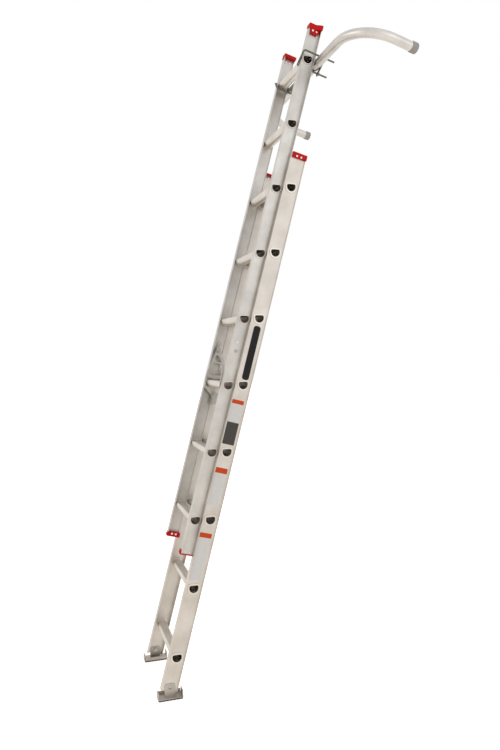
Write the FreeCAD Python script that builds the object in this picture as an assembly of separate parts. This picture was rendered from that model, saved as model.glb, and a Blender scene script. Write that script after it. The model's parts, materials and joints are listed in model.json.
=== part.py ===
"""Two-section aluminium extension ladder with swivel shoes, rung locks and a
stand-off stabilizer, set up leaning as it is used.

Everything on the ladder is drawn in the ladder's own frame first: X across the
ladder (right rail +X), Y through its depth (climber side -Y, wall side +Y) and
Z up along the rails, with Z = 0 at the lowest base rung.  It is then leaned
back against the wall, so that the shoe soles lie flat on the floor at Z = 0, with
the origin on the floor in the middle of the space the whole ladder takes up.
"""
import FreeCAD, Part
import math
import os

V = FreeCAD.Vector

# ---- driving dimensions (mm, degrees) --------------------------------------
LEAN = 14.3                 # angle of the rails from upright, about one out in four up
PITCH = 304.8               # rung spacing, twelve inches
RUNGS = 8                   # rungs in each section
STEPS_OUT = 2               # how many rung spacings the fly section is raised
FLY_DROP = 17.0             # a fly rung sits this far below the base rung it hooks on

BASE_WIDTH = 379.2          # outside of one base rail's web to the other's
BASE_DEPTH = 73.0
BASE_WEB = 2.0
BASE_FLANGE = 2.4
BASE_FLANGE_IN = 22.0       # flange reach inwards, from the web's outside
BASE_LIP = 5.0              # flange reach outwards
BASE_END_DOWN = 147.0       # lowest rung axis down to the rail's foot
BASE_END_UP = 152.4         # highest rung axis up to the rail's top

FLY_WIDTH = 329.4
FLY_DEPTH = 56.8
FLY_WEB = 1.8
FLY_FLANGE = 2.4
FLY_FLANGE_IN = 22.0
FLY_LIP = 6.0
FLY_REAR_IN = 5.0
SLIDE_GAP = 0.5             # between the two sections' interlocking flanges
HOOK_GAP = 3.1              # fly's hooked flange to the inside of the base web
ROOT_FILLET = 1.0

RUNG_HALF = 20.5            # half the width of the opening inside a rung
RUNG_TOP = 13.0             # rung axis up to the inside of the flat tread
RUNG_ROUND = 1.0            # rung axis up to the centre of the round underside
RUNG_CORNER = 7.5
RUNG_WALL = 1.8
BASE_COLLAR = 5.5           # swaged collar beyond the rung's wall, at the base rail
FLY_COLLAR = 1.9            # the same at the narrower fly rail
COLLAR_THICK = 2.4
BEAD_THICK = 4.0
TREAD_GROOVES = 6

SHOE_PIVOT_Z = -128.0       # pivot along the rail, from the lowest rung axis
SHOE_HEIGHT = 47.0          # pivot above the floor
SHOE_LENGTH = 108.0
SHOE_WIDTH = 55.0
SHOE_PLATE = 3.0
PAD_THICK = 6.0
EAR_THICK = 2.5
EAR_HALF = 24.0
EAR_TOP = 15.0              # top of the ears above the pivot
EAR_ROUND = 13.0
CLAW_HEIGHT = 29.0
TRAY_WALL = 15.0
SHOE_BOLT_R = 5.0

CAP_WALL = 2.8
CAP_TOP = 9.0               # fly cap above the end of its rail
BASE_CAP_TOP = 5.0
BASE_CAP_DOWN = 20.0        # depth of the base cap's skirt
RIVET_R = 2.4
RIVET_HEAD_R = 4.6
BASE_RIVET_Y = (-9.0, 12.0)
FLY_RIVET_APART = 19.0

LOCK_UP = 137.8             # lock pivot above the base rung that it hooks on
LOCK_AHEAD = 3.4            # lock pivot ahead of the middle of the fly rail
LOCK_THICK = 6.0
LOCK_BOLT_R = 4.0
LOCK_RIVET_UP = 40.0        # bracket's rivet above the lock pivot
FLIPPER_DOWN = 69.2         # flipper pin below the rung that the lock hooks on
FLIPPER_BACK = 23.6         # flipper pin behind the middle of the fly rail
FLIPPER_THICK = 3.0
FLIPPER_PIN_R = 2.5

TUBE_OD = 40.0
TUBE_WALL = 2.0
ARM_X = 559.0               # arm centre to the ladder's centre line
ARM_REACH = 272.0           # tips of the arms, in Y
BEND_R = 175.0
TIP_WALL = 2.45
TIP_ROUND = 9.0
TIP_LENGTH = 30.0
TIP_END = 4.0               # rubber beyond the end of the tube
UBOLT_R = 4.0
UBOLT_PAST = 49.0           # threaded ends beyond the back of the tube
UBOLT_GAP = 1.0             # inner leg below the top fly rung
SADDLE = 1.6

CLEAR = 0.3                 # ordinary gap between pieces of one assembly
SNUG = 0.1                  # gap between a rung and the hole it is swaged in
RUNNING = 0.05              # radial clearance of a pivot in its hole

# ---- derived positions ------------------------------------------------------
BASE_OUT = BASE_WIDTH / 2
BASE_IN = BASE_OUT - BASE_WEB
BASE_TIP = BASE_OUT - BASE_FLANGE_IN
FLY_OUT = FLY_WIDTH / 2
FLY_IN = FLY_OUT - FLY_WEB
FLY_TIP = FLY_OUT - FLY_FLANGE_IN
FLY_HOOK = BASE_IN - HOOK_GAP
FLY_REAR = -BASE_DEPTH / 2 + BASE_FLANGE + SLIDE_GAP + FLY_FLANGE
FLY_FRONT = FLY_REAR - FLY_DEPTH
FLY_MID = (FLY_REAR + FLY_FRONT) / 2
BASE_FOOT = -BASE_END_DOWN
BASE_TOP = (RUNGS - 1) * PITCH + BASE_END_UP
FLY_FIRST = STEPS_OUT * PITCH - FLY_DROP
FLY_FOOT = FLY_FIRST - PITCH / 2
FLY_TOP = FLY_FIRST + (RUNGS - 0.5) * PITCH
BASE_RIVET_Z = BASE_TOP - 12.0
FLY_RIVET_Y = (FLY_MID - FLY_RIVET_APART / 2, FLY_MID + FLY_RIVET_APART / 2)
FLY_RIVET_TOP_Z = FLY_TOP - 22.0
FLY_RIVET_FOOT_Z = FLY_FOOT + 8.0
SHOE_X = BASE_OUT - BASE_WEB / 2
HOOK_RUNG_Z = (STEPS_OUT + 2) * PITCH
LOCK_Y = FLY_MID - LOCK_AHEAD
LOCK_Z = HOOK_RUNG_Z + LOCK_UP
FLIPPER_Y = FLY_MID + FLIPPER_BACK
FLIPPER_Z = HOOK_RUNG_Z - FLIPPER_DOWN
TUBE_R = TUBE_OD / 2
TIP_OD = TUBE_OD + 2 * TIP_WALL
FLY_LAST = FLY_FIRST + (RUNGS - 1) * PITCH
TUBE_Z = FLY_LAST - RUNG_HALF - RUNG_WALL + RUNG_ROUND - UBOLT_GAP + CLEAR + TUBE_R
TUBE_Y = FLY_REAR + SADDLE + CLEAR + TUBE_R
UBOLT_END = TUBE_Y + TUBE_R + UBOLT_PAST
LOCK_X = FLY_TIP - 3.2 - LOCK_THICK
COS = math.cos(math.radians(LEAN))
SIN = math.sin(math.radians(LEAN))
REAR_MOST = ((ARM_REACH - TIP_ROUND) * COS + (TUBE_Z + TIP_OD / 2 - TIP_ROUND) * SIN
             - SHOE_PIVOT_Z * SIN + TIP_ROUND)
STAND_Y = -(REAR_MOST - SHOE_LENGTH / 2) / 2     # shoes, from the middle of the footprint
SHIFT = V(0, STAND_Y - SHOE_PIVOT_Z * SIN, SHOE_HEIGHT - SHOE_PIVOT_Z * COS)


# ---- helpers ----------------------------------------------------------------
def block(x0, x1, y0, y1, z0, z1):
    """Box between the given limits."""
    return Part.makeBox(x1 - x0, y1 - y0, z1 - z0, V(x0, y0, z0))


def prism(points, direction):
    """Closed outline through the points, extruded along a direction."""
    outline = Part.makePolygon([V(*p) for p in points] + [V(*points[0])])
    return Part.Face(outline).extrude(V(*direction))


def across(radius, x0, x1, y, z):
    """Round bar lying along X."""
    return Part.makeCylinder(radius, x1 - x0, V(x0, y, z), V(1, 0, 0))


def mirrored(shape, side):
    """The shape itself for the right rail, its mirror image for the left."""
    return shape if side > 0 else shape.mirror(V(0, 0, 0), V(1, 0, 0))


def lean(shape):
    """Turn a ladder-frame shape into its place against the wall."""
    placed = shape.copy()
    placed.rotate(V(0, 0, 0), V(1, 0, 0), -LEAN)
    placed.translate(SHIFT)
    return placed


def stand(shape):
    """Put a shape drawn level about the shoe pivots in its place on the floor."""
    placed = shape.copy()
    placed.translate(V(0, STAND_Y, 0))
    return placed


def save(name, shape):
    """Write one level shape under its node name."""
    shape.exportStep("parts/" + name + ".step")


def save_pair(name, shape, placed=lean):
    """Write the right-hand shape and its mirror image."""
    for word, side in (("right", 1), ("left", -1)):
        save(name + "_" + word, placed(mirrored(shape, side)))


def save_pair_group(name, shapes):
    """Write small fasteners of both sides as one group of solids."""
    both = list(shapes) + [mirrored(s, -1) for s in shapes]
    save(name, lean(Part.makeCompound(both)))


def rung_face(offset):
    """D-shaped outline at X = 0, its flat tread level once the ladder leans."""
    w = RUNG_HALF + offset
    top = RUNG_TOP + offset
    r = RUNG_CORNER + offset
    mid = RUNG_ROUND
    k = r * (1 - math.sqrt(0.5))
    left = Part.makeLine(V(0, -w, mid), V(0, -w, top - r))
    corner_a = Part.Arc(V(0, -w, top - r), V(0, -w + k, top - k), V(0, -w + r, top))
    tread = Part.makeLine(V(0, -w + r, top), V(0, w - r, top))
    corner_b = Part.Arc(V(0, w - r, top), V(0, w - k, top - k), V(0, w, top - r))
    right = Part.makeLine(V(0, w, top - r), V(0, w, mid))
    under = Part.Arc(V(0, w, mid), V(0, 0, mid - w), V(0, -w, mid))
    edges = [left, corner_a.toShape(), tread, corner_b.toShape(), right, under.toShape()]
    face = Part.Face(Part.Wire(edges))
    face.rotate(V(0, 0, 0), V(1, 0, 0), LEAN)
    return face


def rung_bar(offset, x0, x1, y=0.0, z=0.0):
    """D-shaped bar along X."""
    bar = rung_face(offset).extrude(V(x1 - x0, 0, 0))
    bar.translate(V(x0, y, z))
    return bar


def rounded_collar(out, x0, x1):
    """Swaged collar with its far edge rolled over."""
    collar = rung_bar(RUNG_WALL + out, x0, x1)
    rim = [e for e in collar.Edges if abs(e.BoundBox.XMin - e.BoundBox.XMax) < 1e-6]
    return collar.makeFillet(1.1, rim)


def rung(web_outside, web_inside, out):
    """One rung centred on its axis: hollow D tube swaged to both rails."""
    end = web_outside + COLLAR_THICK
    bead = web_inside - BEAD_THICK
    bar = rung_bar(RUNG_WALL, -end, end)
    collars = []
    for side in (1, -1):
        collars.append(mirrored(rounded_collar(out, web_outside, end), side))
        collars.append(mirrored(rounded_collar(out, bead, web_inside), side))
    body = bar.multiFuse(collars).cut(rung_bar(0, -end - 1, end + 1))
    grooves = []
    for i in range(TREAD_GROOVES):
        a = (i - (TREAD_GROOVES - 1) / 2) * 5.0
        top = RUNG_TOP + RUNG_WALL
        groove = block(-bead + 2, bead - 2, a - 0.8, a + 0.8, top - 0.6, top + 1)
        groove.rotate(V(0, 0, 0), V(1, 0, 0), LEAN)
        grooves.append(groove)
    return body.cut(grooves)


def nearest_rung_distance():
    """Lock pivot to the closest point of the base rung that the hook seats on."""
    r = RUNG_CORNER + RUNG_WALL
    a = -(RUNG_HALF + RUNG_WALL) + r
    b = RUNG_TOP + RUNG_WALL - r
    y = a * COS - b * SIN
    z = a * SIN + b * COS + HOOK_RUNG_Z
    return math.hypot(y - LOCK_Y, z - LOCK_Z) - r


# ---- rails ------------------------------------------------------------------
def base_profile():
    """Base rail section: an I with long inward flanges and short outward lips."""
    h = BASE_DEPTH / 2
    f = h - BASE_FLANGE
    lip = BASE_OUT + BASE_LIP
    return [(BASE_TIP, -h, 0), (lip, -h, 0), (lip, -f, 0), (BASE_OUT, -f, 0),
            (BASE_OUT, f, 0), (lip, f, 0), (lip, h, 0), (BASE_TIP, h, 0),
            (BASE_TIP, f, 0), (BASE_IN, f, 0), (BASE_IN, -f, 0), (BASE_TIP, -f, 0)]


def fly_profile():
    """Fly rail section: its rear flange hooks behind the base rail's front one."""
    f = FLY_FRONT + FLY_FLANGE
    r = FLY_REAR - FLY_FLANGE
    lip = FLY_OUT + FLY_LIP
    rear = FLY_IN - FLY_REAR_IN
    return [(FLY_TIP, FLY_FRONT, 0), (lip, FLY_FRONT, 0), (lip, f, 0), (FLY_OUT, f, 0),
            (FLY_OUT, r, 0), (FLY_HOOK, r, 0), (FLY_HOOK, FLY_REAR, 0),
            (rear, FLY_REAR, 0), (rear, r, 0), (FLY_IN, r, 0), (FLY_IN, f, 0),
            (FLY_TIP, f, 0)]


def rail(profile, web_faces, z0, z1):
    """Extruded rail with filleted web roots."""
    bar = prism(profile, (0, 0, z1 - z0))
    bar.translate(V(0, 0, z0))
    ys = sorted(set(round(p[1], 3) for p in profile))
    roots = []
    for e in bar.Edges:
        b = e.BoundBox
        upright = b.XLength < 1e-3 and b.YLength < 1e-3
        at_web = any(abs(b.XMin - x) < 1e-3 for x in web_faces)
        inside = ys[0] + 1e-3 < b.YMin < ys[-1] - 1e-3
        if upright and at_web and inside:
            roots.append(e)
    return bar.makeFillet(ROOT_FILLET, roots)


def clearance_rail(profile, web_faces, z0, z1):
    """The rail's section grown all round by the ordinary gap, for caps to fit."""
    bar = rail(profile, web_faces, z0, z1)
    end = min(bar.Faces, key=lambda f: f.BoundBox.ZMax)
    grown = Part.Face(end.OuterWire).makeOffset2D(CLEAR, join=2)
    return grown.extrude(V(0, 0, z1 - z0))


def make_base_rails():
    bar = rail(base_profile(), (BASE_OUT, BASE_IN), BASE_FOOT, BASE_TOP)
    holes = [rung_bar(RUNG_WALL + SNUG, BASE_IN - 5, BASE_OUT + 5, 0, i * PITCH)
             for i in range(RUNGS)]
    holes.append(across(SHOE_BOLT_R + SNUG, BASE_IN - 5, BASE_OUT + 5, 0, SHOE_PIVOT_Z))
    for y in BASE_RIVET_Y:
        holes.append(across(RIVET_R + SNUG, BASE_IN - 5, BASE_OUT + 5, y, BASE_RIVET_Z))
    save_pair("base_rail", bar.cut(holes))


def make_fly_rails():
    bar = rail(fly_profile(), (FLY_OUT, FLY_IN), FLY_FOOT, FLY_TOP)
    holes = [rung_bar(RUNG_WALL + SNUG, FLY_IN - 5, FLY_OUT + 5, FLY_MID,
                      FLY_FIRST + i * PITCH) for i in range(RUNGS)]
    for y in FLY_RIVET_Y:
        for z in (FLY_RIVET_TOP_Z, FLY_RIVET_FOOT_Z):
            holes.append(across(RIVET_R + SNUG, FLY_IN - 5, FLY_OUT + 5, y, z))
    holes.append(across(LOCK_BOLT_R + SNUG, FLY_IN - 5, FLY_OUT + 5, LOCK_Y, LOCK_Z))
    tie = LOCK_Z + LOCK_RIVET_UP
    holes.append(across(RIVET_R + SNUG, FLY_IN - 5, FLY_OUT + 5, LOCK_Y, tie))
    save_pair("fly_rail", bar.cut(holes))


def make_rungs():
    base = rung(BASE_OUT + SNUG, BASE_IN - SNUG, BASE_COLLAR)
    fly = rung(FLY_OUT + SNUG, FLY_IN - SNUG, FLY_COLLAR)
    for i in range(RUNGS):
        b = base.copy()
        b.translate(V(0, 0, i * PITCH))
        save("base_rung_" + str(i + 1), lean(b))
        f = fly.copy()
        f.translate(V(0, FLY_MID, FLY_FIRST + i * PITCH))
        save("fly_rung_" + str(i + 1), lean(f))


# ---- plastic caps and their rivets -------------------------------------------
def rivet(outer, inner, y, z):
    """Domed rivet whose head bears at X = outer and whose tail bears at X = inner."""
    shank = across(RIVET_R, inner - 1.5, outer + 1, y, z)
    head = Part.makeSphere(7.0, V(outer + 2.2 - 7.0, y, z))
    head = head.common(across(RIVET_HEAD_R, outer + CLEAR, outer + 5, y, z))
    tail = across(RIVET_R + 1.2, inner - 2.2, inner - CLEAR, y, z)
    return shank.multiFuse([head, tail]).removeSplitter()


def flush_rivet(inner, outer, y, z):
    """Rivet with its dome inside, bearing at X = inner, and its far end cut flush."""
    shank = across(RIVET_R, inner - 1, outer, y, z)
    head = Part.makeSphere(7.0, V(inner - 2.2 + 7.0, y, z))
    head = head.common(across(RIVET_HEAD_R, inner - 5, inner - CLEAR, y, z))
    return shank.fuse(head).removeSplitter()


def cap_block(x0, x1, y0, y1, z0, z1, round_by):
    """Moulded block with all its outer edges rounded."""
    body = block(x0, x1, y0, y1, z0, z1)
    return body.makeFillet(round_by, body.Edges)


def drill(shape, web_inside, web_outside, ys, z):
    """Rivet holes through a cap, along X."""
    holes = [across(RIVET_R + SNUG, web_inside - 40, web_outside + 40, y, z) for y in ys]
    return shape.cut(holes)


def make_base_top_caps():
    front = FLY_REAR + SLIDE_GAP
    rear = BASE_DEPTH / 2 + CAP_WALL + CLEAR
    face = BASE_OUT + BASE_LIP + CAP_WALL
    top = BASE_TOP + BASE_CAP_TOP
    skirt = cap_block(BASE_IN, face, front, rear, BASE_TOP - BASE_CAP_DOWN, top, 1.5)
    lid = cap_block(BASE_TIP - CAP_WALL, face, front, rear, BASE_TOP - 3.5, top, 1.5)
    cap = skirt.fuse(lid).cut(clearance_rail(base_profile(), (BASE_OUT, BASE_IN),
                                             BASE_TOP - 40, BASE_TOP + CLEAR))
    cap = drill(cap, BASE_IN, BASE_OUT, BASE_RIVET_Y, BASE_RIVET_Z)
    save_pair("base_top_cap", cap)
    rivets = [rivet(face, BASE_IN, y, BASE_RIVET_Z) for y in BASE_RIVET_Y]
    save_pair_group("base_cap_rivets", rivets)


def make_fly_top_caps():
    wall = CAP_WALL + CLEAR
    face = FLY_OUT + FLY_LIP + CAP_WALL
    low = FLY_TOP - 14
    front = FLY_FRONT - wall
    rear = FLY_REAR + wall
    lid = prism([(FLY_TIP - wall, front, low), (face, front, low), (face, FLY_MID, low),
                 (FLY_HOOK + wall, rear - FLY_FLANGE - 2 * wall, low),
                 (FLY_HOOK + wall, rear, low), (FLY_TIP - wall, rear, low)],
                (0, 0, CAP_TOP + 14))
    lid = lid.makeFillet(1.5, lid.Edges)
    lid = lid.cut(block(FLY_TIP - 20, FLY_IN, front - 1, rear + 1, low - 1, FLY_TOP - 5))
    outline = [(-21, -12), (-18, -38), (13, -38), (17, -28), (23, -26), (23, -12)]
    skirt = prism([(FLY_OUT - 1, FLY_MID + y, FLY_TOP + z) for y, z in outline],
                  (face - FLY_OUT + 1, 0, 0))
    cap = lid.fuse(skirt).cut(clearance_rail(fly_profile(), (FLY_OUT, FLY_IN),
                                             FLY_TOP - 50, FLY_TOP + CLEAR))
    cap = drill(cap, FLY_IN, FLY_OUT, FLY_RIVET_Y, FLY_RIVET_TOP_Z)
    save_pair("fly_top_cap", cap)
    rivets = [rivet(face, FLY_IN, y, FLY_RIVET_TOP_Z) for y in FLY_RIVET_Y]
    save_pair_group("fly_top_rivets", rivets)


def make_fly_bottom_caps():
    wall = CAP_WALL + CLEAR
    outer = BASE_TIP - 0.6
    inner = FLY_TIP - wall
    plug = cap_block(inner, FLY_OUT - 4, FLY_FRONT - wall, FLY_REAR + wall,
                     FLY_FOOT - 6, FLY_FOOT + 15, 1.5)
    plate = cap_block(inner, outer, FLY_FRONT - 4, FLY_REAR + wall,
                      FLY_FOOT - 6, FLY_FOOT - CLEAR, 1.5)
    ear = prism([(FLY_TIP, FLY_FRONT - CLEAR, FLY_FOOT - 3),
                 (FLY_TIP, FLY_FRONT - CLEAR, FLY_FOOT + 5),
                 (FLY_TIP, FLY_FRONT - 5, FLY_FOOT + 6),
                 (FLY_TIP, FLY_FRONT - 7, FLY_FOOT + 3),
                 (FLY_TIP, FLY_FRONT - 4, FLY_FOOT - 3)], (FLY_FLANGE_IN, 0, 0))
    cap = plug.multiFuse([plate, ear])
    cap = cap.cut(clearance_rail(fly_profile(), (FLY_OUT, FLY_IN), FLY_FOOT - CLEAR,
                                 FLY_FOOT + 40))
    cap = drill(cap, FLY_IN, FLY_OUT, FLY_RIVET_Y, FLY_RIVET_FOOT_Z)
    save_pair("fly_bottom_cap", cap)
    rivets = [flush_rivet(inner, FLY_OUT, y, FLY_RIVET_FOOT_Z) for y in FLY_RIVET_Y]
    save_pair_group("fly_bottom_rivets", rivets)


# ---- swivel shoes -----------------------------------------------------------
def claw(y0, y1, low, high):
    """Upturned end of the shoe plate with a serrated edge."""
    half = SHOE_WIDTH / 2 - 8
    points = [(SHOE_X - half, y0, low), (SHOE_X + half, y0, low)]
    teeth = 5
    step = 2 * half / teeth
    for i in range(teeth):
        x = SHOE_X + half - i * step
        points.append((x, y0, high))
        points.append((x - step / 2, y0, high - 5))
    points.append((SHOE_X - half, y0, high))
    return prism(points, (0, y1 - y0, 0))


def ear(x0, x1):
    """Flat-topped arch standing on the shoe plate, round about the pivot."""
    high = SHOE_HEIGHT + EAR_TOP
    post = block(x0, x1, -EAR_HALF, EAR_HALF, PAD_THICK + CLEAR, high)
    shoulders = [e for e in post.Edges
                 if e.BoundBox.XLength > EAR_THICK / 2 and e.BoundBox.ZMin > high - 1]
    return post.makeFillet(EAR_ROUND, shoulders)


def make_shoes():
    half = SHOE_WIDTH / 2
    end = SHOE_LENGTH / 2
    low = PAD_THICK + CLEAR
    top = low + SHOE_PLATE
    plate = block(SHOE_X - half, SHOE_X + half, -end, end, low, top)
    corners = [e for e in plate.Edges if e.BoundBox.ZLength > SHOE_PLATE / 2]
    plate = plate.makeFillet(5.0, corners)
    ear_out = BASE_OUT + CLEAR
    ear_in = BASE_IN - CLEAR
    wall = block(SHOE_X - half, SHOE_X - half + SHOE_PLATE, -end + 4, end - 4, low,
                 low + TRAY_WALL)
    body = plate.multiFuse([
        ear(ear_out, ear_out + EAR_THICK), ear(ear_in - EAR_THICK, ear_in), wall,
        claw(-end, -end + SHOE_PLATE, low, low + CLAW_HEIGHT - 4),
        claw(end - SHOE_PLATE, end, low, low + CLAW_HEIGHT)])
    body = body.cut(across(SHOE_BOLT_R + RUNNING, SHOE_X - 30, SHOE_X + 30, 0, SHOE_HEIGHT))
    save_pair("shoe_bracket", body.removeSplitter(), stand)
    pad = block(SHOE_X - half + 1, SHOE_X + half - 1, -end + 1, end - 1, 0, PAD_THICK)
    upright = [e for e in pad.Edges if e.BoundBox.ZLength > PAD_THICK / 2]
    pad = pad.makeFillet(5.0, upright)
    cuts = [block(SHOE_X - half, SHOE_X + half, y - 1.2, y + 1.2, -1, 1.6)
            for y in range(-40, 41, 16)]
    save_pair("shoe_pad", pad.cut(cuts), stand)
    outer = ear_out + EAR_THICK + CLEAR
    inner = ear_in - EAR_THICK - CLEAR
    shank = across(SHOE_BOLT_R, inner - 7, outer + 1, 0, SHOE_HEIGHT)
    head = Part.makeSphere(15.0, V(outer + 3.4 - 15.0, 0, SHOE_HEIGHT))
    head = head.common(across(8.5, outer, outer + 6, 0, SHOE_HEIGHT))
    nut = hexagon(8.5, inner - 6, inner, 0, SHOE_HEIGHT)
    save_pair("shoe_pivot_bolt", shank.multiFuse([head, nut]).removeSplitter(), stand)


def hexagon(radius, x0, x1, y, z):
    """Hexagonal nut or head lying along X, given its corner radius."""
    points = []
    for i in range(6):
        t = math.radians(60 * i)
        points.append((x0, y + radius * math.cos(t), z + radius * math.sin(t)))
    return prism(points, (x1 - x0, 0, 0))


# ---- rung locks ---------------------------------------------------------------
def arc_points(radius, y_from, y_to, count):
    """Points of an arc below the lock pivot, between two depths."""
    points = []
    for i in range(count + 1):
        y = y_from + (y_to - y_from) * i / count
        points.append((y, LOCK_Z - math.sqrt(radius ** 2 - (y - LOCK_Y) ** 2)))
    return points


def plate_yz(points, x0, x1):
    """Plate with the given side outline, standing across X."""
    return prism([(x0, y, z) for y, z in points], (x1 - x0, 0, 0))


def make_locks():
    seat = nearest_rung_distance() - CLEAR
    below = LOCK_Z - FLY_FIRST - 2 * PITCH
    under = math.hypot(FLY_MID - LOCK_Y, below - RUNG_ROUND) + RUNG_HALF + RUNG_WALL + 1.0
    leg = FLY_MID - RUNG_HALF - RUNG_WALL - 2.3
    front = leg - 8.5
    x0 = LOCK_X
    x1 = LOCK_X + LOCK_THICK
    z_seat = LOCK_Z - seat
    z_under = LOCK_Z - under
    outline = [(LOCK_Y - 8, LOCK_Z + 21), (LOCK_Y + 8, LOCK_Z + 21),
               (LOCK_Y + 15, LOCK_Z + 6), (-17, LOCK_Z - 50), (2, LOCK_Z - 88),
               (14, z_seat + 34)]
    outline += arc_points(seat, 14, leg, 16)
    outline += arc_points(under, leg, FLIPPER_Y + 4, 10)
    outline += [(FLIPPER_Y + 9, FLIPPER_Z + 4), (FLIPPER_Y + 8, FLIPPER_Z - 6),
                (FLIPPER_Y - 1, FLIPPER_Z - 12), (FLIPPER_Y - 9, FLIPPER_Z - 8),
                (leg - 4, z_under - 8), (front, z_seat - 14), (front, z_seat + 24)]
    body = plate_yz(outline, x0, x1)
    upper = [(LOCK_Y - 5, LOCK_Z - 20), (LOCK_Y + 9, LOCK_Z - 20), (-31, LOCK_Z - 50),
             (-64, LOCK_Z - 50), (LOCK_Y - 8, LOCK_Z - 40)]
    lower = [(-29, LOCK_Z - 58), (-19, LOCK_Z - 70), (-16, LOCK_Z - 88),
             (-20, z_seat + 24), (-50, z_seat + 19), (front + 12, z_seat + 24),
             (front + 14, z_seat + 40), (-67, LOCK_Z - 58)]
    body = body.cut(plate_yz(upper, x0 - 1, x1 + 1))
    body = body.cut(plate_yz(lower, x0 - 1, x1 + 1))
    body = body.cut(across(LOCK_BOLT_R + RUNNING, x0 - 1, x1 + 1, LOCK_Y, LOCK_Z))
    body = body.cut(across(FLIPPER_PIN_R + SNUG, x0 - 1, x1 + 1, FLIPPER_Y, FLIPPER_Z))
    save_pair("rung_lock", body)
    make_flipper(x0)
    make_lock_bracket(x0, x1)


def make_flipper(lock_face):
    """Small hinged finger that steers the lock past a rung."""
    x1 = lock_face - CLEAR
    x0 = x1 - FLIPPER_THICK
    outline = [(-8, 8), (5, 12), (22, 6), (35, -10), (34, -24), (24, -42), (12, -52),
               (3, -56), (0, -50), (1, -34), (-4, -16)]
    points = [(FLIPPER_Y + y, FLIPPER_Z + z) for y, z in outline]
    body = plate_yz(points, x0, x1)
    body = body.cut(across(FLIPPER_PIN_R + RUNNING, x0 - 1, x1 + 1, FLIPPER_Y, FLIPPER_Z))
    save_pair("lock_flipper", body)
    outer = lock_face + LOCK_THICK
    pin = across(FLIPPER_PIN_R, x0 - 2.5, outer + 2, FLIPPER_Y, FLIPPER_Z)
    head = across(5.0, x0 - 2.5, x0 - CLEAR, FLIPPER_Y, FLIPPER_Z)
    tail = across(4.2, outer + CLEAR, outer + 2, FLIPPER_Y, FLIPPER_Z)
    save_pair("flipper_pin", pin.multiFuse([head, tail]).removeSplitter())


def make_lock_bracket(lock_inner, lock_outer):
    """Bracket riveted inside the fly rail, with the boss the lock swings on."""
    x1 = FLY_IN - CLEAR
    x0 = x1 - 2.5
    tie = LOCK_Z + LOCK_RIVET_UP
    body = block(x0, x1, LOCK_Y - 9, LOCK_Y + 9, LOCK_Z - 2, tie)
    body = body.multiFuse([across(9, x0, x1, LOCK_Y, tie), across(10, x0, x1, LOCK_Y, LOCK_Z),
                           across(8, lock_outer + CLEAR, x1, LOCK_Y, LOCK_Z)])
    body = body.removeSplitter()
    body = body.cut(across(LOCK_BOLT_R + SNUG, lock_inner, FLY_OUT, LOCK_Y, LOCK_Z))
    body = body.cut(across(RIVET_R + SNUG, lock_inner, FLY_OUT, LOCK_Y, tie))
    save_pair("lock_bracket", body)
    head_x = FLY_OUT + CLEAR
    bolt = across(LOCK_BOLT_R, lock_inner - 6, head_x + 1, LOCK_Y, LOCK_Z)
    head = Part.makeSphere(12.0, V(head_x + 3.4 - 12.0, LOCK_Y, LOCK_Z))
    head = head.common(across(7.5, head_x, head_x + 5, LOCK_Y, LOCK_Z))
    nut = hexagon(7.5, lock_inner - 5.5, lock_inner - CLEAR, LOCK_Y, LOCK_Z)
    save_pair("lock_pivot_bolt", bolt.multiFuse([head, nut]).removeSplitter())
    tie_rivet = rivet(FLY_OUT, x0, LOCK_Y, tie)
    save_pair_group("lock_bracket_rivets", [tie_rivet])


# ---- stabilizer ---------------------------------------------------------------
def tube_path():
    """Centre line of the bar: two arms joined by quarter bends to a cross bar."""
    k = BEND_R * (1 - math.sqrt(0.5))
    end = ARM_REACH - TIP_END
    inner = ARM_X - BEND_R
    z = TUBE_Z
    turn = TUBE_Y + BEND_R
    arm_l = Part.makeLine(V(-ARM_X, end, z), V(-ARM_X, turn, z))
    bend_l = Part.Arc(V(-ARM_X, turn, z), V(-ARM_X + k, TUBE_Y + k, z), V(-inner, TUBE_Y, z))
    bar = Part.makeLine(V(-inner, TUBE_Y, z), V(inner, TUBE_Y, z))
    bend_r = Part.Arc(V(inner, TUBE_Y, z), V(ARM_X - k, TUBE_Y + k, z), V(ARM_X, turn, z))
    arm_r = Part.makeLine(V(ARM_X, turn, z), V(ARM_X, end, z))
    return Part.Wire([arm_l, bend_l.toShape(), bar, bend_r.toShape(), arm_r])


def make_stabilizer_tube():
    start = V(-ARM_X, ARM_REACH - TIP_END, TUBE_Z)
    pipes = []
    for radius in (TUBE_R, TUBE_R - TUBE_WALL):
        ring = Part.Wire([Part.makeCircle(radius, start, V(0, 1, 0))])
        pipes.append(tube_path().makePipeShell([ring], True, False))
    save("stabilizer_tube", lean(pipes[0].cut(pipes[1])))


def make_end_caps():
    way = V(0, 1, 0)
    start = V(ARM_X, ARM_REACH - TIP_LENGTH, TUBE_Z)
    outer = Part.makeCylinder(TIP_OD / 2, TIP_LENGTH, start, way)
    far = [e for e in outer.Edges if e.BoundBox.YMin > ARM_REACH - 1]
    outer = outer.makeFillet(TIP_ROUND, far)
    bore = Part.makeCylinder(TUBE_R + SNUG, TIP_LENGTH - TIP_END + CLEAR, start, way)
    save_pair("stabilizer_end_cap", outer.cut(bore))


def leg_places():
    """X and Z of a U-bolt's outer leg over the tube and inner leg under it."""
    off = TUBE_R + UBOLT_R + CLEAR
    outer = (FLY_HOOK + UBOLT_R + 0.5, TUBE_Z + off)
    inner = (FLY_TIP - UBOLT_R - 6.5, TUBE_Z - off)
    return outer, inner


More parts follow.
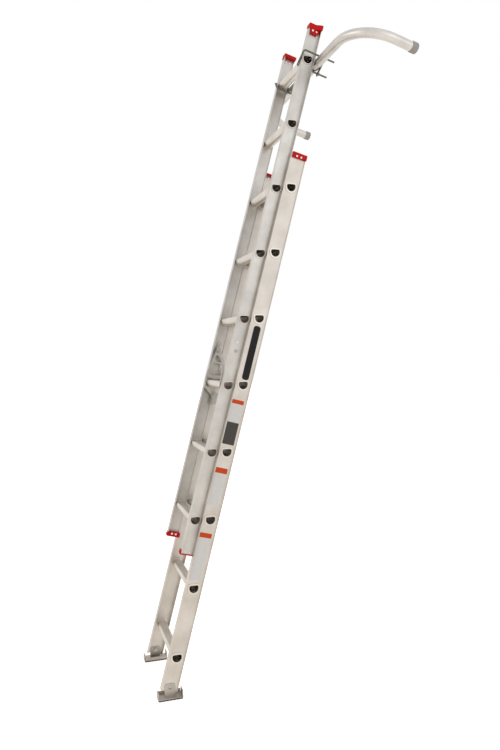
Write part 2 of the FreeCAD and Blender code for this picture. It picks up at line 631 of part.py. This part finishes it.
def make_ubolts():
    outer, inner = leg_places()
    crown = FLY_FRONT - UBOLT_R - CLEAR
    span = math.hypot(outer[0] - inner[0], outer[1] - inner[1])
    dx = (outer[0] - inner[0]) / span
    dz = (outer[1] - inner[1]) / span
    r = 9.0
    k = r * (1 - math.sqrt(0.5))

    def at(s, y):
        return V(inner[0] + dx * s, y, inner[1] + dz * s)

    leg_in = Part.makeLine(at(0, UBOLT_END), at(0, crown + r))
    bend_in = Part.Arc(at(0, crown + r), at(k, crown + k), at(r, crown))
    top = Part.makeLine(at(r, crown), at(span - r, crown))
    bend_out = Part.Arc(at(span - r, crown), at(span - k, crown + k), at(span, crown + r))
    leg_out = Part.makeLine(at(span, crown + r), at(span, UBOLT_END))
    path = Part.Wire([leg_in, bend_in.toShape(), top, bend_out.toShape(), leg_out])
    ring = Part.Wire([Part.makeCircle(UBOLT_R, at(0, UBOLT_END), V(0, 1, 0))])
    save_pair("ubolt", path.makePipeShell([ring], True, False))
    make_clamp_plates(outer, inner, span)
    make_nuts(outer, inner)
    saddle = block(FLY_IN - FLY_REAR_IN - 8, FLY_HOOK, FLY_REAR + 0.15,
                   FLY_REAR + SADDLE, TUBE_Z - 20, TUBE_Z + 20)
    save_pair("clamp_saddle", saddle)


def make_clamp_plates(outer, inner, span):
    """Flat bar behind the tube, drilled for both legs of the U-bolt."""
    y0 = TUBE_Y + TUBE_R + CLEAR
    cx = (outer[0] + inner[0]) / 2
    cz = (outer[1] + inner[1]) / 2
    half = span / 2 + 11
    bar = block(cx - half, cx + half, y0, y0 + 3, cz - 11, cz + 11)
    bar = bar.makeFillet(6.0, [e for e in bar.Edges if e.BoundBox.YLength > 2])
    slope = math.degrees(math.atan2(outer[1] - inner[1], outer[0] - inner[0]))
    bar.rotate(V(cx, 0, cz), V(0, 1, 0), -slope)
    for x, z in (outer, inner):
        bar = bar.cut(Part.makeCylinder(UBOLT_R + 0.2, 20, V(x, y0 - 8, z), V(0, 1, 0)))
    save_pair("clamp_plate", bar)


def make_nuts(outer, inner):
    """Two hexagon nuts on each U-bolt."""
    y0 = TUBE_Y + TUBE_R + 3 + 2 * CLEAR
    nuts = []
    for x, z in (outer, inner):
        corner = []
        for i in range(6):
            t = math.radians(60 * i + 15)
            corner.append((x + 7.5 * math.cos(t), y0, z + 7.5 * math.sin(t)))
        hexa = prism(corner, (0, 6.5, 0))
        bore = Part.makeCylinder(UBOLT_R + SNUG, 20, V(x, y0 - 5, z), V(0, 1, 0))
        nuts.append(hexa.cut(bore))
    for word, side in (("right", 1), ("left", -1)):
        group = Part.makeCompound([mirrored(n, side) for n in nuts])
        save("ubolt_nuts_" + word, lean(group))


os.makedirs("parts", exist_ok=True)
make_base_rails()
make_fly_rails()
make_rungs()
make_base_top_caps()
make_fly_top_caps()
make_fly_bottom_caps()
make_shoes()
make_locks()
make_stabilizer_tube()
make_end_caps()
make_ubolts()
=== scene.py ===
import bpy
import json
import math
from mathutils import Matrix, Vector


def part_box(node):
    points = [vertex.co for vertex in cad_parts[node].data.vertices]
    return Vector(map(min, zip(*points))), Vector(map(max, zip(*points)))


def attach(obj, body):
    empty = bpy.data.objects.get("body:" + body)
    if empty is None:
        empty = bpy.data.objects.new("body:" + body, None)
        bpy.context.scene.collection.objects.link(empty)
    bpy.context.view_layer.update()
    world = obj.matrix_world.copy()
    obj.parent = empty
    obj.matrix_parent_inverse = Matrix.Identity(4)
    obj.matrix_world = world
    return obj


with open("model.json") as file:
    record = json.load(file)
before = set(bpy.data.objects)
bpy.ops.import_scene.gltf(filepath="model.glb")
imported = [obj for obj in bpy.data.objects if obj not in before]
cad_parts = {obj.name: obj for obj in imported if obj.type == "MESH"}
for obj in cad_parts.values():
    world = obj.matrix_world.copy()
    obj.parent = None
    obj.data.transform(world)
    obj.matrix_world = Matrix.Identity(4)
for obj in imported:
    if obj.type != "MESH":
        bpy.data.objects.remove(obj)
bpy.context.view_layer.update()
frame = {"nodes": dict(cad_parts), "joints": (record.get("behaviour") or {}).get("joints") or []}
nodes = frame["nodes"]
SIDES = ("right", "left")


# ---- Base section rails -------------------------------------------------------
# Two long I-shaped extrusions of 6061 aluminium, cut to length and left with the
# mill finish: fine die lines along the metal and a cloudy grey bloom over them.
RAIL_PALE = "#D7D1CA"
RAIL_GREY = "#BDB6AD"
DIE_LINE_MM = 1.6           # real lines are finer; drawn as coarse as shows
DIE_LINE_LONG_MM = 420.0
BLOOM_MM = 90.0
LINES_SHARE = 0.45          # how far the die lines shift the colour
BLEND_DARKEST = 0.42        # sum of lines and bloom at which the metal is all grey
NOISE_LOW = 0.3             # noise textures seldom leave this band
NOISE_HIGH = 0.7

rail_way = next(Vector(j["axis"]) for j in frame["joints"] if j["name"] == "fly_slide")
LEAN = math.atan2(rail_way.y, rail_way.z)


def linear(code):
    """sRGB hex colour as a linear RGBA tuple."""
    channels = [int(code[i:i + 2], 16) / 255 for i in (1, 3, 5)]
    return tuple(c / 12.92 if c <= 0.04045 else ((c + 0.055) / 1.055) ** 2.4
                 for c in channels) + (1.0,)


def new_material(name):
    """Empty node material, its tree and its main shader."""
    material = bpy.data.materials.new(name)
    material.use_nodes = True
    tree = material.node_tree
    return material, tree, tree.nodes["Principled BSDF"]


def add_node(tree, kind, settings=None, values=None, links=None):
    """One node with its settings, socket values and incoming links."""
    made = tree.nodes.new(kind)
    for name, value in (settings or {}).items():
        setattr(made, name, value)
    for socket, value in (values or {}).items():
        made.inputs[socket].default_value = value
    for socket, source in (links or {}).items():
        tree.links.new(source, made.inputs[socket])
    return made


def dress(material, names):
    """Give a material to every face of the named CAD nodes."""
    for name in names:
        for place in nodes[name].material_slots:
            place.material = material


def mill_finish(name, pale, grey, streak, turn, roughness):
    """Bare aluminium: streak is the grain's size along each axis, turned about X."""
    material, tree, shader = new_material(name)
    place = add_node(tree, "ShaderNodeTexCoord").outputs["Object"]
    along = add_node(tree, "ShaderNodeMapping", {"vector_type": "TEXTURE"},
                     {"Rotation": (turn, 0, 0), "Scale": streak}, {"Vector": place})
    lines = add_node(tree, "ShaderNodeTexNoise", None,
                     {"Scale": 1.0, "Detail": 3.0, "Roughness": 0.6},
                     {"Vector": along.outputs["Vector"]})
    bloom = add_node(tree, "ShaderNodeTexNoise", None,
                     {"Scale": 1000 / BLOOM_MM, "Detail": 4.0, "Roughness": 0.55},
                     {"Vector": place})
    blend = add_node(tree, "ShaderNodeMath", {"operation": "MULTIPLY_ADD"},
                     {1: LINES_SHARE},
                     {0: lines.outputs["Fac"], 2: bloom.outputs["Fac"]})
    colour = add_node(tree, "ShaderNodeValToRGB", None, None,
                      {"Fac": blend.outputs["Value"]})
    colour.color_ramp.elements[0].position = BLEND_DARKEST
    colour.color_ramp.elements[0].color = linear(grey)
    colour.color_ramp.elements[1].position = 1.0
    colour.color_ramp.elements[1].color = linear(pale)
    gloss = add_node(tree, "ShaderNodeMapRange", None,
                     {"From Min": NOISE_LOW, "From Max": NOISE_HIGH,
                      "To Min": roughness - 0.06, "To Max": roughness + 0.08},
                     {"Value": lines.outputs["Fac"]})
    relief = add_node(tree, "ShaderNodeBump", None,
                      {"Strength": 0.25, "Distance": 0.0002},
                      {"Height": lines.outputs["Fac"]})
    tree.links.new(colour.outputs["Color"], shader.inputs["Base Color"])
    tree.links.new(gloss.outputs["Result"], shader.inputs["Roughness"])
    tree.links.new(relief.outputs["Normal"], shader.inputs["Normal"])
    shader.inputs["Metallic"].default_value = 1.0
    return material


die_line = DIE_LINE_MM / 1000
line_long = DIE_LINE_LONG_MM / 1000
rail_metal = mill_finish("mill_finish_aluminium_rail", RAIL_PALE, RAIL_GREY,
                         (die_line, die_line, line_long), -LEAN, 0.42)
dress(rail_metal, ["base_rail_" + side for side in SIDES])


# ---- Rungs --------------------------------------------------------------------
# Hollow D-shaped extrusions with a grooved flat tread, pushed through the rails and
# swaged into a rolled collar on both faces of each web.  Boots polish the metal.
RUNG_PALE = "#E0DAD2"
RUNG_GREY = "#CBC4BA"

rung_metal = mill_finish("mill_finish_aluminium_rung", RUNG_PALE, RUNG_GREY,
                         (line_long, die_line, die_line), 0.0, 0.38)
dress(rung_metal, [part + "_rung_" + str(i) for part in ("base", "fly")
                   for i in range(1, 9)])


# ---- Fly section rails ----------------------------------------------------------
# The upper section slides on the lower one: its rear flanges hook behind the base
# rails' front ones.  Same alloy and mill finish, rubbed brighter by the sliding.
FLY_PALE = "#D3D0CB"
FLY_GREY = "#B4B0AA"

fly_metal = mill_finish("mill_finish_aluminium_fly", FLY_PALE, FLY_GREY,
                        (die_line, die_line, line_long), -LEAN, 0.4)
dress(fly_metal, ["fly_rail_" + side for side in SIDES])


# ---- End caps -------------------------------------------------------------------
# Injection-moulded polypropylene, red all through, pushed over the rail ends and
# riveted.  Spark-eroded moulds leave a fine even grain; the gloss is low and soft.
CAP_RED = "#D20A0C"
CAP_DEEP = "#B40608"
MOULD_GRAIN_MM = 0.9
CAP_CLOUD = 45.0            # noise scale: clouds of colour about 22 mm across

cap_plastic, tree, shader = new_material("moulded_red_polypropylene")
place = add_node(tree, "ShaderNodeTexCoord").outputs["Object"]
grain = add_node(tree, "ShaderNodeTexNoise", None,
                 {"Scale": 1000 / MOULD_GRAIN_MM, "Detail": 2.0}, {"Vector": place})
flow = add_node(tree, "ShaderNodeTexNoise", None, {"Scale": CAP_CLOUD, "Detail": 3.0},
                {"Vector": place})
colour = add_node(tree, "ShaderNodeMix", {"data_type": "RGBA"},
                  {"A": linear(CAP_DEEP), "B": linear(CAP_RED)},
                  {"Factor": flow.outputs["Fac"]})
relief = add_node(tree, "ShaderNodeBump", None, {"Strength": 0.3, "Distance": 0.0001},
                  {"Height": grain.outputs["Fac"]})
tree.links.new(colour.outputs["Result"], shader.inputs["Base Color"])
tree.links.new(relief.outputs["Normal"], shader.inputs["Normal"])
shader.inputs["Roughness"].default_value = 0.5
shader.inputs["IOR"].default_value = 1.4
shader.inputs["Specular IOR Level"].default_value = 0.3
dress(cap_plastic, [cap + "_cap_" + side for cap in ("base_top", "fly_top", "fly_bottom")
                    for side in SIDES])


# ---- Rivets ---------------------------------------------------------------------
# Soft aluminium rivets hold the caps and the lock brackets.  The setting tool leaves
# the domes smooth and brighter than the rails.
RIVET_BRIGHT = "#E9E6E0"
RIVET_MARKS = 700.0         # noise scale: marks about 1.4 mm across

rivet_metal, tree, shader = new_material("set_aluminium_rivet")
place = add_node(tree, "ShaderNodeTexCoord").outputs["Object"]
marks = add_node(tree, "ShaderNodeTexNoise", None, {"Scale": RIVET_MARKS, "Detail": 2.0},
                 {"Vector": place})
gloss = add_node(tree, "ShaderNodeMapRange", None,
                 {"From Min": NOISE_LOW, "From Max": NOISE_HIGH,
                  "To Min": 0.2, "To Max": 0.36},
                 {"Value": marks.outputs["Fac"]})
tree.links.new(gloss.outputs["Result"], shader.inputs["Roughness"])
shader.inputs["Base Color"].default_value = linear(RIVET_BRIGHT)
shader.inputs["Metallic"].default_value = 1.0
dress(rivet_metal, ["base_cap_rivets", "fly_top_rivets", "fly_bottom_rivets",
                    "lock_bracket_rivets"])


# ---- Swivel shoes ---------------------------------------------------------------
# Pressed aluminium brackets with serrated claws, pivoting on a bolt through each
# rail, with ribbed rubber soles under them.  The press leaves a dull, scuffed skin.
SHOE_PALE = "#C4BDB5"
SHOE_GREY = "#A0988F"
SOLE_DARK = "#2A211E"
SOLE_DUST = "#4A3D37"
SCUFF = 0.004               # width of the press's scuffs
SCUFF_LONG = 0.03           # they run along the shoe
DUST_PATCH = 90.0           # noise scale: patches of dust about 11 mm across
RUBBER_GRIT = 1500.0        # noise scale: grit under 1 mm across

shoe_metal = mill_finish("pressed_aluminium_shoe", SHOE_PALE, SHOE_GREY,
                         (SCUFF, SCUFF_LONG, SCUFF), 0.0, 0.5)
dress(shoe_metal, ["shoe_bracket_" + side for side in SIDES])

sole_rubber, tree, shader = new_material("ribbed_black_rubber")
place = add_node(tree, "ShaderNodeTexCoord").outputs["Object"]
dust = add_node(tree, "ShaderNodeTexNoise", None, {"Scale": DUST_PATCH, "Detail": 5.0},
                {"Vector": place})
grit = add_node(tree, "ShaderNodeTexNoise", None, {"Scale": RUBBER_GRIT, "Detail": 2.0},
                {"Vector": place})
colour = add_node(tree, "ShaderNodeMix", {"data_type": "RGBA"},
                  {"A": linear(SOLE_DARK), "B": linear(SOLE_DUST)},
                  {"Factor": dust.outputs["Fac"]})
relief = add_node(tree, "ShaderNodeBump", None, {"Strength": 0.4, "Distance": 0.0002},
                  {"Height": grit.outputs["Fac"]})
tree.links.new(colour.outputs["Result"], shader.inputs["Base Color"])
tree.links.new(relief.outputs["Normal"], shader.inputs["Normal"])
shader.inputs["Roughness"].default_value = 0.85
dress(sole_rubber, ["shoe_pad_" + side for side in SIDES])


# ---- Rung locks -----------------------------------------------------------------
# An aluminium casting inside each fly rail hooks over a base rung, hung from a
# riveted bracket; a small zinc-plated steel flipper steers it past the rungs.
LOCK_PALE = "#CBC8C2"
LOCK_GREY = "#B1ADA6"
CAST_GRAIN_MM = 1.4
CAST_CLOUD = 40.0           # noise scale: clouds of tone about 25 mm across
ZINC_PALE = "#BDBAB4"
ZINC_DULL = "#A29F99"
SPANGLE_MM = 6.0

cast_metal, tree, shader = new_material("sand_cast_aluminium")
place = add_node(tree, "ShaderNodeTexCoord").outputs["Object"]
sand = add_node(tree, "ShaderNodeTexNoise", None,
                {"Scale": 1000 / CAST_GRAIN_MM, "Detail": 3.0}, {"Vector": place})
tone = add_node(tree, "ShaderNodeTexNoise", None, {"Scale": CAST_CLOUD, "Detail": 4.0},
                {"Vector": place})
colour = add_node(tree, "ShaderNodeMix", {"data_type": "RGBA"},
                  {"A": linear(LOCK_GREY), "B": linear(LOCK_PALE)},
                  {"Factor": tone.outputs["Fac"]})
relief = add_node(tree, "ShaderNodeBump", None, {"Strength": 0.5, "Distance": 0.0003},
                  {"Height": sand.outputs["Fac"]})
tree.links.new(colour.outputs["Result"], shader.inputs["Base Color"])
tree.links.new(relief.outputs["Normal"], shader.inputs["Normal"])
shader.inputs["Metallic"].default_value = 1.0
shader.inputs["Roughness"].default_value = 0.5
dress(cast_metal, ["rung_lock_" + side for side in SIDES])

zinc_metal, tree, shader = new_material("bright_zinc_plated_steel")
place = add_node(tree, "ShaderNodeTexCoord").outputs["Object"]
spangle = add_node(tree, "ShaderNodeTexVoronoi", None, {"Scale": 1000 / SPANGLE_MM},
                   {"Vector": place})
colour = add_node(tree, "ShaderNodeMix", {"data_type": "RGBA"},
                  {"A": linear(ZINC_PALE), "B": linear(ZINC_DULL)},
                  {"Factor": spangle.outputs["Distance"]})
gloss = add_node(tree, "ShaderNodeMapRange", None,
                 {"From Min": 0.0, "From Max": 0.8, "To Min": 0.26, "To Max": 0.42},
                 {"Value": spangle.outputs["Distance"]})
tree.links.new(colour.outputs["Result"], shader.inputs["Base Color"])
tree.links.new(gloss.outputs["Result"], shader.inputs["Roughness"])
shader.inputs["Metallic"].default_value = 1.0
dress(zinc_metal, [part + "_" + side for side in SIDES
                   for part in ("lock_flipper", "lock_bracket", "flipper_pin",
                                "lock_pivot_bolt", "shoe_pivot_bolt")])


# ---- Stabilizer bar ---------------------------------------------------------------
# One length of drawn aluminium tube, bent at both ends to stand the ladder off the
# wall.  Drawing leaves it smoother than the rails, with a soft satin sheen.
TUBE_PALE = "#DCD8D3"
TUBE_GREY = "#BEBAB5"
DRAW_LINE = 0.003           # width of the drawing marks
DRAW_LINE_LONG = 0.12       # they run along the crossbar

tube_metal = mill_finish("drawn_aluminium_tube", TUBE_PALE, TUBE_GREY,
                         (DRAW_LINE_LONG, DRAW_LINE, DRAW_LINE), -LEAN, 0.36)
dress(tube_metal, ["stabilizer_tube"])


# ---- Stabilizer tips ----------------------------------------------------------------
# Grey non-marking rubber caps pushed over the tube ends, the only parts that touch
# the wall.  Moulded, matt, a little chalky.
TIP_GREY = "#8F8D8B"
TIP_CHALK = "#B2AFAB"
CHALK_PATCH = 120.0         # noise scale: chalky patches about 8 mm across

tip_rubber, tree, shader = new_material("non_marking_grey_rubber")
place = add_node(tree, "ShaderNodeTexCoord").outputs["Object"]
chalk = add_node(tree, "ShaderNodeTexNoise", None, {"Scale": CHALK_PATCH, "Detail": 5.0},
                 {"Vector": place})
colour = add_node(tree, "ShaderNodeMix", {"data_type": "RGBA"},
                  {"A": linear(TIP_GREY), "B": linear(TIP_CHALK)},
                  {"Factor": chalk.outputs["Fac"]})
relief = add_node(tree, "ShaderNodeBump", None, {"Strength": 0.3, "Distance": 0.0002},
                  {"Height": chalk.outputs["Fac"]})
tree.links.new(colour.outputs["Result"], shader.inputs["Base Color"])
tree.links.new(relief.outputs["Normal"], shader.inputs["Normal"])
shader.inputs["Roughness"].default_value = 0.72
dress(tip_rubber, ["stabilizer_end_cap_" + side for side in SIDES])


# ---- U-bolts and clamp plates --------------------------------------------------------
# Bent steel rod round each fly rail, pulled against the tube by nuts on a drilled
# plate.  Dark yellow-grey zinc, with a soft ripple; the threads aren't modelled.
BOLT_DARK = "#5E5C53"
BOLT_PALE = "#7F7C70"
RIPPLE_MM = 2.2             # one radian of the ripple, so its crests are 14 mm apart
WAVE_RADIANS = 20           # in one unit of a wave texture at a scale of 1
BOLT_CLOUD = 260.0          # noise scale: clouds of tone about 4 mm across

bolt_metal, tree, shader = new_material("dark_zinc_plated_rod")
place = add_node(tree, "ShaderNodeTexCoord").outputs["Object"]
along = add_node(tree, "ShaderNodeMapping", {"vector_type": "TEXTURE"},
                 {"Rotation": (-LEAN, 0, 0)}, {"Vector": place})
tone = add_node(tree, "ShaderNodeTexNoise", None, {"Scale": BOLT_CLOUD, "Detail": 4.0},
                {"Vector": place})
ripple = add_node(tree, "ShaderNodeTexWave",
                  {"wave_type": "BANDS", "bands_direction": "Y"},
                  {"Scale": 1000 / RIPPLE_MM / WAVE_RADIANS},
                  {"Vector": along.outputs["Vector"]})
colour = add_node(tree, "ShaderNodeMix", {"data_type": "RGBA"},
                  {"A": linear(BOLT_DARK), "B": linear(BOLT_PALE)},
                  {"Factor": tone.outputs["Fac"]})
relief = add_node(tree, "ShaderNodeBump", None, {"Strength": 0.5, "Distance": 0.0006},
                  {"Height": ripple.outputs["Fac"]})
tree.links.new(colour.outputs["Result"], shader.inputs["Base Color"])
tree.links.new(relief.outputs["Normal"], shader.inputs["Normal"])
shader.inputs["Metallic"].default_value = 1.0
shader.inputs["Roughness"].default_value = 0.4
dress(bolt_metal, [part + "_" + side for side in SIDES
                   for part in ("ubolt", "ubolt_nuts", "clamp_plate", "clamp_saddle")])


# ---- Stickers ---------------------------------------------------------------------
# Printed vinyl film stuck to the outside of the right base rail.  The film carries
# plain blocks of colour only and lies flat in the channel of the web.
STICKER_THICK = 0.0003
STICKER_LIFT = 0.0001       # room for the glue under the film
STICKER_CORNER = 0.003
STICKER_BEHIND = 0.0225     # rear edge, from the rung axis line
STICKER_AHEAD = 0.0325      # front edge
BAR_BEHIND = 0.0175         # the black bar is narrower
BAR_AHEAD = 0.015
BAR_CORNER = 0.012
MOTTLE = 160.0              # noise scale: faint patches about 6 mm across
HAIR = 1e-6                 # two lengths closer than this count as equal
BLACK, ORANGE, WHITE, GREY = range(4)
FILM_BLACK = "#141212"
FILM_ORANGE = "#D24A14"
FILM_WHITE = "#DFDDDA"
FILM_GREY = "#4A4745"
FLANGE_LIP = 0.005          # flanges stand this far outside the web

web_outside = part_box("base_rail_right")[1].x - FLANGE_LIP


def vinyl(name, code):
    """Printed vinyl film: flat colour with faint mottling and a soft gloss."""
    material, tree, shader = new_material(name)
    place = add_node(tree, "ShaderNodeTexCoord").outputs["Object"]
    mottle = add_node(tree, "ShaderNodeTexNoise", None, {"Scale": MOTTLE, "Detail": 5.0},
                      {"Vector": place})
    shade = add_node(tree, "ShaderNodeMapRange", None,
                     {"From Min": NOISE_LOW, "From Max": NOISE_HIGH,
                      "To Min": 0.9, "To Max": 1.0},
                     {"Value": mottle.outputs["Fac"]})
    colour = add_node(tree, "ShaderNodeMix",
                      {"data_type": "RGBA", "blend_type": "MULTIPLY"},
                      {"Factor": 1.0, "A": linear(code)}, {"B": shade.outputs["Result"]})
    tree.links.new(colour.outputs["Result"], shader.inputs["Base Color"])
    shader.inputs["Roughness"].default_value = 0.45
    shader.inputs["Specular IOR Level"].default_value = 0.25
    return material


FILMS = [vinyl("vinyl_film_" + word, code) for word, code in
         (("black", FILM_BLACK), ("orange", FILM_ORANGE), ("white", FILM_WHITE),
          ("grey", FILM_GREY))]


def rung_point(index):
    """Middle of a base rung's box, from which a sticker's edges are measured."""
    low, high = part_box("base_rung_" + str(index))
    return (low + high) / 2


def sticker(name, index, bottom, top, behind, ahead, blocks, corner):
    """Rounded film above rung `index`; blocks lists (where a colour starts, film)."""
    bpy.ops.object.select_all(action="DESELECT")
    bpy.ops.mesh.primitive_cube_add(size=1)
    film = bpy.context.object
    film.name = name
    film.scale = (STICKER_THICK, behind + ahead, top - bottom)
    film.location = (0, (behind - ahead) / 2, (top + bottom) / 2)
    bpy.ops.object.transform_apply(location=True, rotation=True, scale=True)
    bpy.ops.object.mode_set(mode="EDIT")
    for height, _ in blocks[1:]:
        bpy.ops.mesh.select_all(action="SELECT")
        bpy.ops.mesh.bisect(plane_co=(0, 0, height), plane_no=(0, 0, 1))
    bpy.ops.object.mode_set(mode="OBJECT")
    for _, kind in blocks:
        film.data.materials.append(FILMS[kind])
    for face in film.data.polygons:
        for slot_index, (height, _) in enumerate(blocks):
            if face.center.z > height:
                face.material_index = slot_index
    corners = film.data.attributes.new("bevel_weight_edge", "FLOAT", "EDGE")
    for edge in film.data.edges:
        a, b = (film.data.vertices[i].co for i in edge.vertices)
        at_end = min(abs(a.z - bottom), abs(a.z - top)) < HAIR
        corners.data[edge.index].value = float(abs(a.x - b.x) > HAIR and at_end)
    bevel = film.modifiers.new("rounded corners", "BEVEL")
    bevel.limit_method = "WEIGHT"
    bevel.width = corner
    bevel.segments = 6
    bpy.ops.object.modifier_apply(modifier=bevel.name)
    film.rotation_euler = (-LEAN, 0, 0)
    film.location = rung_point(index)
    film.location.x = web_outside + STICKER_THICK / 2 + STICKER_LIFT
    bpy.ops.object.transform_apply(location=True, rotation=True, scale=True)
    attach(film, "base")


# Bottom, top and the start of each colour are metres up the rail from the rung.
sticker("sticker_black_bar", 5, 0.026, 0.272, BAR_BEHIND, BAR_AHEAD,
        [(0, BLACK)], BAR_CORNER)
sticker("sticker_upper", 4, 0.036, 0.237, STICKER_BEHIND, STICKER_AHEAD,
        [(0, GREY), (0.136, WHITE), (0.219, ORANGE)], STICKER_CORNER)
sticker("sticker_middle", 3, 0.064, 0.235, STICKER_BEHIND, STICKER_AHEAD,
        [(0, WHITE), (0.211, ORANGE)], STICKER_CORNER)
sticker("sticker_lower", 2, 0.038, 0.248, STICKER_BEHIND, STICKER_AHEAD,
        [(0, WHITE), (0.227, ORANGE)], STICKER_CORNER)


# ---- Studio floor -----------------------------------------------------------------
# A wide sweep of slightly warm white paper.  A little light of its own keeps it white
# to the camera and in reflections, while it still takes the ladder's soft shadow.
PAPER_WARM = "#F0E9E1"
FLOOR_SIZE = 60
FLOOR_DROP = 0.0005         # just under the soles
LIFT_SEEN = 0.6             # added where the camera sees the paper
LIFT_MIRRORED = 0.36        # added where the metal mirrors it

bpy.ops.object.select_all(action="DESELECT")
bpy.ops.mesh.primitive_plane_add(size=FLOOR_SIZE, location=(0, 0, -FLOOR_DROP))
floor = bpy.context.object
floor.name = "studio_floor"
floor_paint, tree, shader = new_material("white_studio_paper")
shader.inputs["Base Color"].default_value = linear(PAPER_WARM)
shader.inputs["Roughness"].default_value = 0.9
glow = add_node(tree, "ShaderNodeEmission")
rays = add_node(tree, "ShaderNodeLightPath")
mirrored = add_node(tree, "ShaderNodeMath", {"operation": "MAXIMUM"}, None,
                    {0: rays.outputs["Is Glossy Ray"],
                     1: rays.outputs["Is Transmission Ray"]})
mirror_lift = add_node(tree, "ShaderNodeMath", {"operation": "MULTIPLY"},
                       {1: LIFT_MIRRORED}, {0: mirrored.outputs["Value"]})
lift = add_node(tree, "ShaderNodeMath", {"operation": "MULTIPLY_ADD"}, {1: LIFT_SEEN},
                {0: rays.outputs["Is Camera Ray"], 2: mirror_lift.outputs["Value"]})
tree.links.new(lift.outputs["Value"], glow.inputs["Strength"])
both = add_node(tree, "ShaderNodeAddShader", None, None,
                {0: shader.outputs["BSDF"], 1: glow.outputs["Emission"]})
output = next(n for n in tree.nodes if n.type == "OUTPUT_MATERIAL")
tree.links.new(both.outputs["Shader"], output.inputs["Surface"])
floor.data.materials.append(floor_paint)


# ---- Studio light and camera ----------------------------------------------------------
# A white surround with two large soft boxes: one ahead of the climber's side, one
# behind the camera, so that webs read a little darker than flanges.
SURROUND = 0.8              # its light on the ladder, where 1 is how it is seen
AIM = Vector((0, 0, 1.4))   # the lamps point at the ladder's middle
SOFT_BOXES = (              # name, place, power in watts, size
    ("soft_box_front", (0.6, -4.7, 3.4), 34, 3.0),
    ("soft_box_side", (4.4, 1.1, 3.2), 12, 2.5),
)
CAMERA_PLACE = (2.9116, -0.9747, 1.4832)
CAMERA_DOWN = 1.757         # degrees below level
CAMERA_ROUND = 72.077       # degrees, anticlockwise from facing along +Y
LENS_MM = 30.93

world = bpy.data.worlds.new("white_surround")
bpy.context.scene.world = world
world.use_nodes = True
tree = world.node_tree
backdrop = tree.nodes["Background"]
backdrop.inputs["Color"].default_value = (1, 1, 1, 1)
rays = add_node(tree, "ShaderNodeLightPath")
seen = add_node(tree, "ShaderNodeMath", {"operation": "MAXIMUM"}, None,
                {0: rays.outputs["Is Camera Ray"], 1: rays.outputs["Is Glossy Ray"]})
seen_any = add_node(tree, "ShaderNodeMath", {"operation": "MAXIMUM"}, None,
                    {0: seen.outputs["Value"], 1: rays.outputs["Is Transmission Ray"]})
strength = add_node(tree, "ShaderNodeMapRange", None,
                    {"From Min": 0.0, "From Max": 1.0, "To Min": SURROUND, "To Max": 1.0},
                    {"Value": seen_any.outputs["Value"]})
tree.links.new(strength.outputs["Result"], backdrop.inputs["Strength"])

for name, place, power, size in SOFT_BOXES:
    lamp = bpy.data.lights.new(name, "AREA")
    lamp.energy = power
    lamp.size = size
    holder = bpy.data.objects.new(name, lamp)
    holder.location = place
    ray = AIM - holder.location
    holder.rotation_euler = ray.to_track_quat("-Z", "Y").to_euler()
    bpy.context.collection.objects.link(holder)

lens = bpy.data.cameras.new("camera")
lens.sensor_width = 36.0
lens.lens = LENS_MM
camera = bpy.data.objects.new("camera", lens)
camera.location = CAMERA_PLACE
camera.rotation_euler = (math.radians(90 - CAMERA_DOWN), 0, math.radians(CAMERA_ROUND))
bpy.context.collection.objects.link(camera)
bpy.context.scene.camera = camera
bpy.context.scene.view_settings.view_transform = "Standard"
